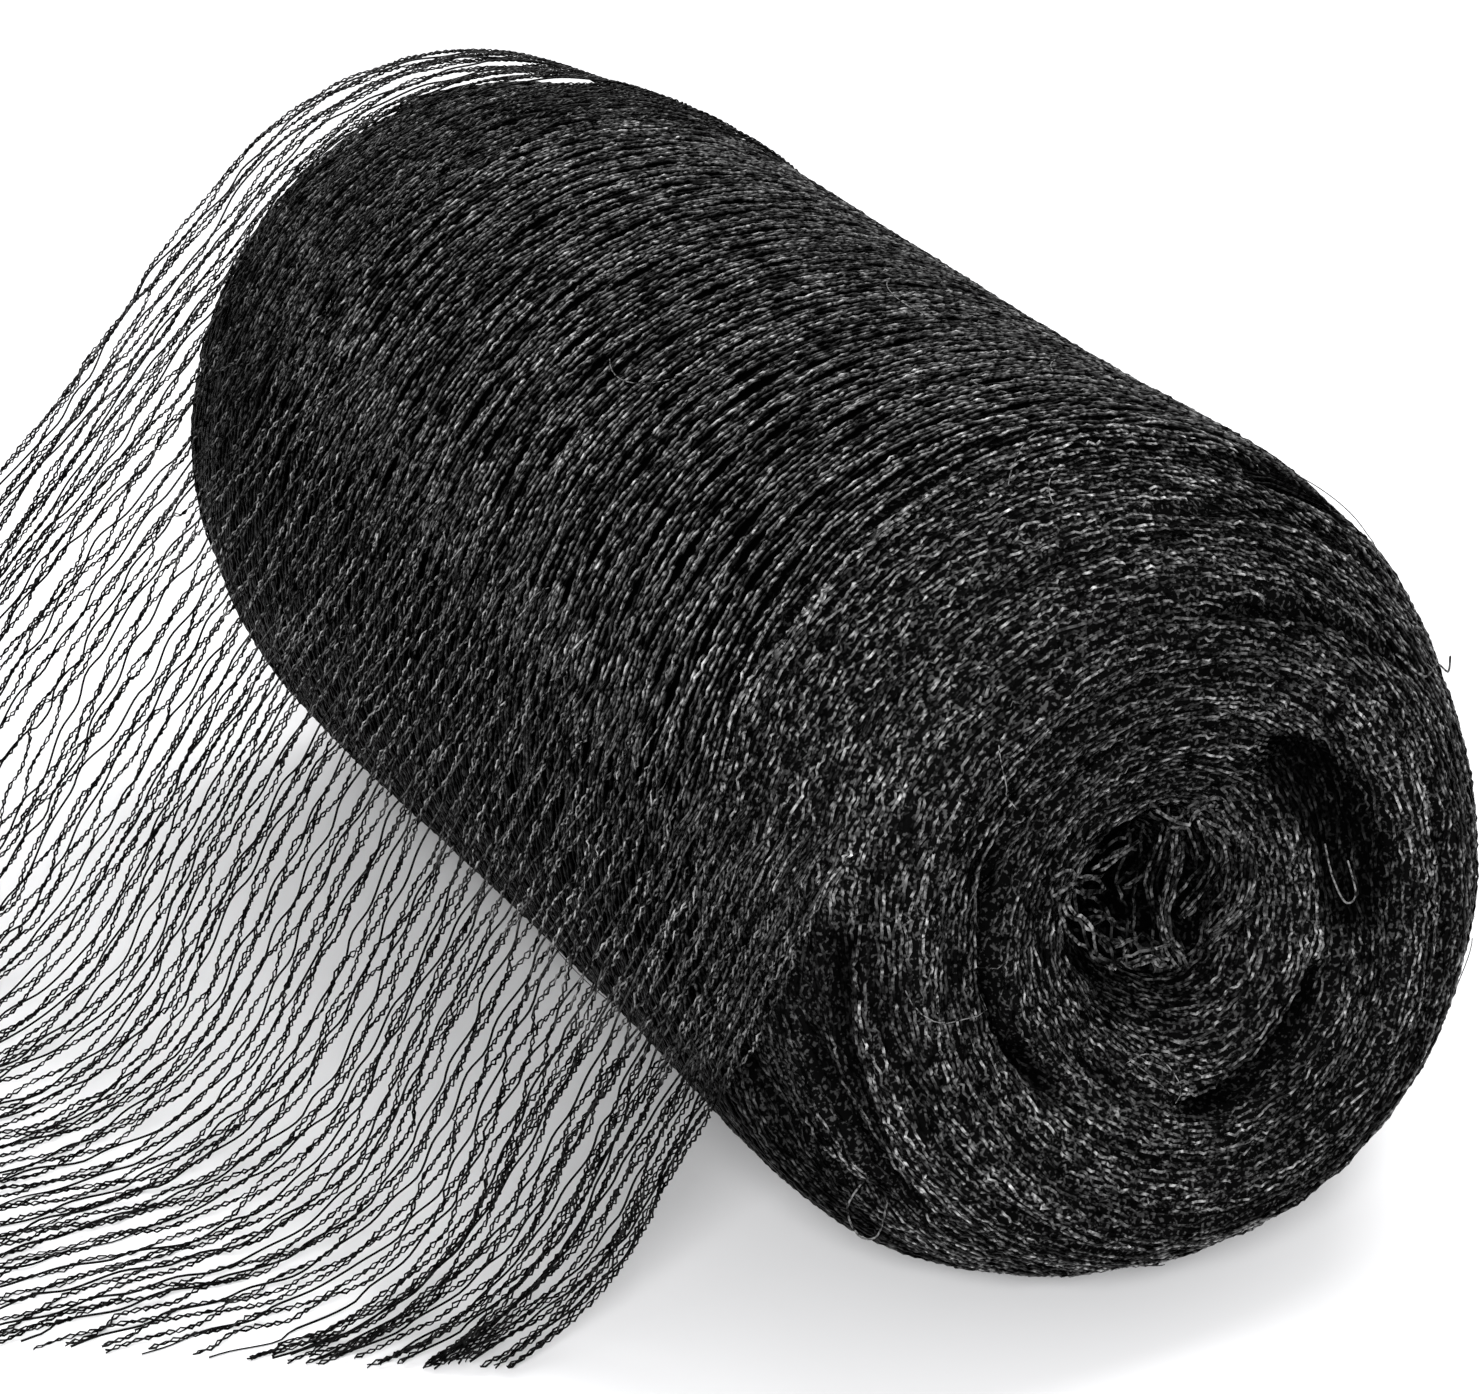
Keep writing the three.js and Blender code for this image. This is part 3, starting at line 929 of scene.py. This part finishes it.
def net_radius(y, angle):
    """Radius of the net's middle over the roll, height of the axis there and room left for the turns."""
    rims = slice(OUTLINE["near_rim"], OUTLINE["far_rim"] + 1)
    alongs = OUTLINE["along"][rims]
    radii = OUTLINE["radius"][rims] + RIDGE_CLEARANCE * OUTLINE["ridge"][rims]
    along = y - NEAR_RIM_Y
    for _ in range(FIT_ROUNDS):
        along = np.clip(along, alongs[0], alongs[-1])
        radius = (np.interp(along, alongs, radii) + lump(along, angle)) * girth(along)
        along = y - NEAR_RIM_Y - lean(along, radius * np.cos(angle), radius * np.sin(angle))
    height = ROLL_RADIUS * girth(along) - FLAT_SPOT_DEPTH
    reach = y - NEAR_RIM_Y
    lying = radius + NET_CLEARANCE + NET_THICKNESS / 2
    band = FAR_BAND_RADIUS - FAR_BAND_TAPER * (reach - FAR_BAND_START)
    room = RIDGE_CLEARANCE * np.interp(along, alongs, OUTLINE["ridge"][rims])
    return np.where(reach > FAR_BAND_START, np.maximum(lying, band), lying), height, room


def net_on_roll(share, turn):
    """Point of the net where it lies on the roll, at an angle from the top, and its room for the turns."""
    top_y = drape_column(share, TOP_Y)
    leave_y = drape_column(share, LEAVE_Y)
    leave = np.radians(drape_column(share, LEAVE_DEGREES))
    y = top_y + (leave_y - top_y) * np.clip(turn / leave, 0.0, 1.0)
    radius, height, room = net_radius(y, math.pi / 2 + turn)
    return -radius * np.sin(turn), y, height + radius * np.cos(turn), room


def net_sheet(share, fraction):
    """Points of the net, the angle it hangs at, how far it has left the roll and its room for the turns."""
    start = math.radians(NET_START_DEG)
    leave = np.radians(drape_column(share, LEAVE_DEGREES))
    leave_x, leave_y, leave_z, leave_room = net_on_roll(share, leave)
    bend = drape_column(share, FLOOR_BEND)
    floor = NET_THICKNESS / 2
    to_floor = (leave_z - floor) / np.sin(leave)
    tangent = bend * np.tan(leave / 2)
    touch_x = leave_x - to_floor * np.cos(leave) - tangent
    over = (leave - start) * ROLL_RADIUS
    straight = to_floor - tangent
    rounding = bend * leave
    total = over + straight + rounding + touch_x - drape_column(share, CUT_X)
    distance = fraction * total

    past = distance - over
    turn = np.where(past < straight, leave, np.clip(leave - (past - straight) / bend, 0.0, leave))
    flat = past - straight - rounding
    x = np.where(past < straight, leave_x - past * np.cos(leave), touch_x + bend * np.sin(turn))
    x = np.where(flat > 0.0, touch_x - flat, x)
    z = np.where(past < straight, leave_z - past * np.sin(leave), floor + bend * (1.0 - np.cos(turn)))
    hanging = np.clip(past / (straight + rounding), 0.0, 1.0)
    fold = FOLD_HEIGHT * np.sin(math.pi * hanging) ** 2 * np.sin(FOLD_WAVES * share + FOLD_START) ** 2
    y = leave_y + (drape_column(share, CUT_Y) - leave_y) * smooth(past / (total - over))

    roll_turn = start + distance / ROLL_RADIUS
    roll_x, roll_y, roll_z, roll_room = net_on_roll(share, roll_turn)
    lying = past < 0.0
    turn = np.where(lying, roll_turn, turn)
    x = np.where(lying, roll_x, x - fold * np.sin(turn))
    y = np.where(lying, roll_y, y)
    z = np.where(lying, roll_z, z + fold * np.cos(turn))
    return np.stack([x, y, z], axis=-1), turn, past, np.where(lying, roll_room, leave_room)


def crowd(share, fraction):
    """Shares of the width drift together and apart, so that gaps are uneven."""
    inside = smooth(share / CALM_EDGE) * smooth((1.0 - share) / CALM_EDGE)
    wave = np.sin(2.0 * math.pi * (CROWDED_BANDS * share + CROWD_SLANT * fraction) + CROWD_START)
    return share + CROWDING * inside * wave / (2.0 * math.pi * CROWDED_BANDS)


def net_line(share, fraction, rng):
    """A line of the loose net, its outward directions and painted glints, and its length tucked into the
    roll.
    """
    points, turn, past, room = net_sheet(np.clip(share, 0.0, 1.0), fraction)
    out = np.stack([-np.sin(turn), np.zeros_like(turn), np.cos(turn)], axis=-1)
    length = running_length(points)
    free = smooth(past / FREE_REACH)
    beyond = smooth((points[:, 1] - FAR_BAND_Y) / FAR_BAND_FADE)
    emerged = smooth((past - rng.uniform(*EMERGE_RANGE)) / EMERGE_REACH)
    off_roll = np.maximum(emerged, beyond)
    untucked = off_roll * smooth((length - rng.uniform(*TUCK_RANGE)) / TUCK_REACH)
    tucked = (TUCK_DEPTH + room) * (1.0 - untucked)
    wave = np.sin(rng.uniform(*BILLOW_WAVES) * fraction + rng.uniform(0.0, RANDOM_PHASE))
    lying = BILLOW_LYING * wave - LYING_SINK * (1.0 - free)
    lift = lying + BILLOW_FREE * free * (wave + FREE_RISE) - tucked
    hidden = np.interp(0.5, off_roll, length) if off_roll[0] < 0.5 else 0.0
    # Painted glints: strongest where the strand has just left the roll, fading past a reach and over the far
    # band
    reach = LIGHT_REACH + FAR_LIGHT_REACH * share
    light = off_roll * (1.0 - FAR_BAND_SHADE * beyond) * (1.0 - smooth((past - reach) / LIGHT_FADE))
    shade = LOOSE_DARKEST + (1.0 - LOOSE_DARKEST) * light
    return points + lift[:, None] * out, np.concatenate([out, shade[:, None]], axis=1), hidden


def wander(index, share, fraction, rng):
    """Sideways wander of a strand in millimetres, most of it shared with its neighbours."""
    looseness = smooth((fraction - LOOSE_FROM) / (1.0 - LOOSE_FROM))
    total = np.zeros_like(fraction)
    for across, along, start, width, added in MEANDERS:
        wave = np.sin(2 * math.pi * (across * index + along * fraction) + start)
        total = total + wave * (width + added * looseness)
    far_play = FAR_PLAY * smooth((share - FAR_PLAY_START) / FAR_PLAY_REACH)
    own = np.sin(rng.uniform(*OWN_WAVES) * fraction + rng.uniform(0.0, RANDOM_PHASE))
    return total + own * (OWN_WIDTH + OWN_LOOSENESS * looseness + far_play)


def make_loose_net(rng):
    """The loose net: chains and plain yarns that meet and part in rows, as two pieces of its width."""
    even = np.linspace(0.0, 1.0, NET_STRANDS)
    shares = np.interp(even, CROWDED_STRANDS, CROWDED_WIDTHS)
    pitches = np.gradient(shares)
    slack = rng.uniform(-ROW_PLAY, ROW_PLAY, (NET_STRANDS + 1, NET_ROWS))
    meeting = rng.uniform(*MEETING_RANGE, (NET_STRANDS + 1, NET_ROWS))
    meeting[rng.uniform(0.0, 1.0, meeting.shape) < MISSED_MEETINGS] = 0.0
    fraction = np.linspace(0.0, 1.0, LINE_POINTS)
    rows = np.arange(NET_ROWS)
    parts = []
    for index in range(NET_STRANDS):
        side = np.where((index + rows) % 2 == 0, 1, -1)
        boundary = np.where(side > 0, index + 1, index)
        knots = (rows + 0.5 + slack[boundary, rows]) / NET_ROWS
        position = np.interp(fraction, knots, rows)
        low = np.minimum(position.astype(int), NET_ROWS - 2)
        shifts = side * meeting[boundary, rows]
        shift = shifts[low] + (shifts[low + 1] - shifts[low]) * smooth(position - low)
        drift = wander(index, shares[index], fraction, rng) / NET_WIDTH
        share = crowd(shares[index], fraction) + shift * pitches[index] + drift
        line, columns, hidden = net_line(share, fraction, rng)
        plain = index % PLAIN_EVERY == PLAIN_EVERY - 1
        table = net_steps(line, columns, hidden, THIN_YARN_STEP if plain else NET_STITCH / 2.0)
        centre, facing, shade = table[:, :3], table[:, 3:6], table[:, 6]
        if plain:
            _, across, up = strand_frames(centre, facing)
            strand = yarn_tube(centre, across, up, THIN_YARN_RADIUS, THIN_YARN_TONE * shade)
        else:
            strand = yarn_chain(centre, facing, shade, rng)
        parts.append(keep_off_floor(strand, NET_FLOOR_GAP))
    pieces = []
    for name, first, last in NET_PIECES:
        piece = mesh_piece(name, *join_parts(parts[first:last]))
        pieces.append(piece)
    return pieces


# Materials

def add_node(tree, kind, place, **values):
    """A shader node at a place, with some of its settings."""
    node = tree.nodes.new(kind)
    node.location = place
    for setting, value in values.items():
        setattr(node, setting, value)
    return node


def add_noise(tree, place, scale_and_detail):
    """A noise node of a scale and detail."""
    node = add_node(tree, "ShaderNodeTexNoise", place)
    for setting, value in zip(("Scale", "Detail"), scale_and_detail):
        node.inputs[setting].default_value = value
    return node


def set_range(node, side, limits):
    """Set the From or the To limits of a range node."""
    for end, value in zip(("Min", "Max"), limits):
        node.inputs[f"{side} {end}"].default_value = value


def make_yarn_group():
    """Shared look of the polyethylene yarn: uneven black, changing gloss and fine filament grain; its tone
    input carries painted glints and painted shade.
    """
    tree = bpy.data.node_groups.new("yarn_look", "ShaderNodeTree")
    for name, kind in LOOK_INPUTS:
        tree.interface.new_socket(name, in_out="INPUT", socket_type=kind)
    for name, kind in LOOK_OUTPUTS:
        tree.interface.new_socket(name, in_out="OUTPUT", socket_type=kind)
    inside = add_node(tree, "NodeGroupInput", (-900, 0))
    outside = add_node(tree, "NodeGroupOutput", (500, 0))
    place = add_node(tree, "ShaderNodeTexCoord", (-900, -300))
    cloud = add_noise(tree, (-650, -200), CLOUD_NOISE)
    speck = add_noise(tree, (-650, 100), SPECK_NOISE)
    filament = add_noise(tree, (-650, -500), FILAMENT_NOISE)
    even = add_node(tree, "ShaderNodeMapRange", (-450, -100))
    set_range(even, "From", NOISE_RANGE)
    set_range(even, "To", CLOUD_TONES)
    sharp = add_node(tree, "ShaderNodeMapRange", (-450, 250))
    sharp.inputs["From Max"].default_value = SPECK_END
    set_range(sharp, "To", SPECK_TONES)
    gloss = add_node(tree, "ShaderNodeMapRange", (-100, -250))
    set_range(gloss, "From", NOISE_RANGE)
    uneven = add_node(tree, "ShaderNodeMath", (-350, 0), operation="MULTIPLY")
    blend = add_node(tree, "ShaderNodeMath", (-200, 100), operation="MULTIPLY")
    colour = add_node(tree, "ShaderNodeMix", (-100, 150), data_type="RGBA")
    links = tree.links
    for noise in (cloud, speck, filament):
        links.new(place.outputs["Object"], noise.inputs["Vector"])
    links.new(cloud.outputs["Fac"], even.inputs["Value"])
    links.new(speck.outputs["Fac"], sharp.inputs["Value"])
    links.new(inside.outputs["Speck Start"], sharp.inputs["From Min"])
    links.new(even.outputs["Result"], uneven.inputs[0])
    links.new(sharp.outputs["Result"], uneven.inputs[1])
    links.new(inside.outputs["Tone"], blend.inputs[0])
    links.new(uneven.outputs[0], blend.inputs[1])
    links.new(blend.outputs[0], colour.inputs["Factor"])
    links.new(inside.outputs["Dark"], colour.inputs["A"])
    links.new(inside.outputs["Light"], colour.inputs["B"])
    links.new(filament.outputs["Fac"], gloss.inputs["Value"])
    links.new(inside.outputs["Smoothest"], gloss.inputs["To Min"])
    links.new(inside.outputs["Dullest"], gloss.inputs["To Max"])
    links.new(colour.outputs["Result"], outside.inputs["Color"])
    links.new(gloss.outputs["Result"], outside.inputs["Roughness"])
    links.new(filament.outputs["Fac"], outside.inputs["Grain"])
    return tree


def make_yarn_material(name, group):
    """Black yarn whose tone, with its painted glints and painted shade, comes from the piece's own
    attribute.
    """
    dark, light, smoothest, dullest, specular, speck_start = YARN_FINISHES[name]
    material = bpy.data.materials.new(name)
    material.use_nodes = True
    tree = material.node_tree
    shader = tree.nodes["Principled BSDF"]
    shader.inputs["Specular IOR Level"].default_value = specular
    tone = add_node(tree, "ShaderNodeAttribute", (-800, 200), attribute_name="tone")
    look = add_node(tree, "ShaderNodeGroup", (-550, 200), node_tree=group)
    look.inputs["Dark"].default_value = (dark, dark, dark, 1.0)
    look.inputs["Light"].default_value = (light, light, light, 1.0)
    look.inputs["Smoothest"].default_value = smoothest
    look.inputs["Dullest"].default_value = dullest
    look.inputs["Speck Start"].default_value = speck_start
    bump = add_node(tree, "ShaderNodeBump", (-250, -150))
    bump.inputs["Strength"].default_value = BUMP_STRENGTH
    bump.inputs["Distance"].default_value = BUMP_DEPTH * MM
    links = tree.links
    links.new(tone.outputs["Fac"], look.inputs["Tone"])
    links.new(look.outputs["Color"], shader.inputs["Base Color"])
    links.new(look.outputs["Roughness"], shader.inputs["Roughness"])
    links.new(look.outputs["Grain"], bump.inputs["Height"])
    links.new(bump.outputs["Normal"], shader.inputs["Normal"])
    return material


def make_floor_material():
    """Plain pale studio floor."""
    material = bpy.data.materials.new("pale_floor")
    material.use_nodes = True
    tree = material.node_tree
    shader = tree.nodes["Principled BSDF"]
    shader.inputs["Base Color"].default_value = FLOOR_COLOUR
    shader.inputs["Roughness"].default_value = FLOOR_ROUGHNESS
    return material


# Stage

def make_floor():
    """Large pale floor under the roll."""
    bpy.ops.object.select_all(action="DESELECT")
    bpy.ops.mesh.primitive_plane_add(size=FLOOR_SIZE)
    floor = bpy.context.object
    floor.name = "floor"
    floor.data.materials.append(make_floor_material())


def make_light():
    """Soft lamps and an even pale surround."""
    world = bpy.data.worlds.new("studio")
    world.use_nodes = True
    surround = world.node_tree.nodes["Background"]
    surround.inputs["Color"].default_value = (1.0, 1.0, 1.0, 1.0)
    surround.inputs["Strength"].default_value = WORLD_STRENGTH
    bpy.context.scene.world = world
    for name, place, aim, size, power in LAMPS:
        data = bpy.data.lights.new(name, "AREA")
        data.shape = "DISK"
        data.size = size
        data.energy = power
        lamp = bpy.data.objects.new(name, data)
        lamp.location = place
        direction = np.array(aim) - np.array(place)
        flat = math.hypot(direction[0], direction[1])
        lamp.rotation_euler = (math.atan2(flat, -direction[2]), 0.0, math.atan2(-direction[0], direction[1]))
        bpy.context.scene.collection.objects.link(lamp)
    bpy.context.scene.view_settings.view_transform = "Standard"


def make_camera():
    """Camera at the photograph's viewing angle."""
    data = bpy.data.cameras.new("camera")
    data.sensor_width = SENSOR_WIDTH
    data.lens = SENSOR_WIDTH * FOCAL_PIXELS / PHOTO_WIDTH
    data.clip_start = NEAREST_VIEW * MM
    camera = bpy.data.objects.new("camera", data)
    camera.location = np.array(CAMERA_PLACE) * MM
    camera.rotation_euler = (math.radians(90.0 - CAMERA_DROP), 0.0, math.radians(-CAMERA_HEADING))
    bpy.context.scene.collection.objects.link(camera)
    bpy.context.scene.camera = camera


# Whole scene

def finish_piece(piece, material):
    """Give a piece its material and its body."""
    piece.data.materials.clear()
    piece.data.materials.append(material)
    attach(piece, "root")


def build():
    """Camera, light, roll and loose net."""
    rng = np.random.default_rng(SEED)
    make_camera()
    make_light()
    make_floor()
    group = make_yarn_group()
    body_yarn = make_yarn_material("packed_net", group)
    wound_yarn = make_yarn_material("wound_yarn", group)
    loose_yarn = make_yarn_material("loose_yarn", group)
    body = make_wound_body()
    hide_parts("net_roll")
    finish_piece(body, body_yarn)
    knit = make_side_knit(rng)
    for end in ENDS:
        knit.append(make_end_knit(*end, rng))
    knit.append(make_hollow_folds(rng))
    knit.append(make_stray_fibres(rng))
    for piece in knit:
        finish_piece(piece, wound_yarn)
    for piece in make_loose_net(rng):
        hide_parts("loose_net")
        finish_piece(piece, loose_yarn)


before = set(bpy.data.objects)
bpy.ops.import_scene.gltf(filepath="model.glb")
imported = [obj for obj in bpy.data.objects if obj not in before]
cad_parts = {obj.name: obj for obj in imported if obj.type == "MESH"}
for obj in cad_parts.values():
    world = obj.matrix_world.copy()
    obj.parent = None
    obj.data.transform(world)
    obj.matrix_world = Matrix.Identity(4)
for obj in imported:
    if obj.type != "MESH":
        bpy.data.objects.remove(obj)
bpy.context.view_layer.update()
build()
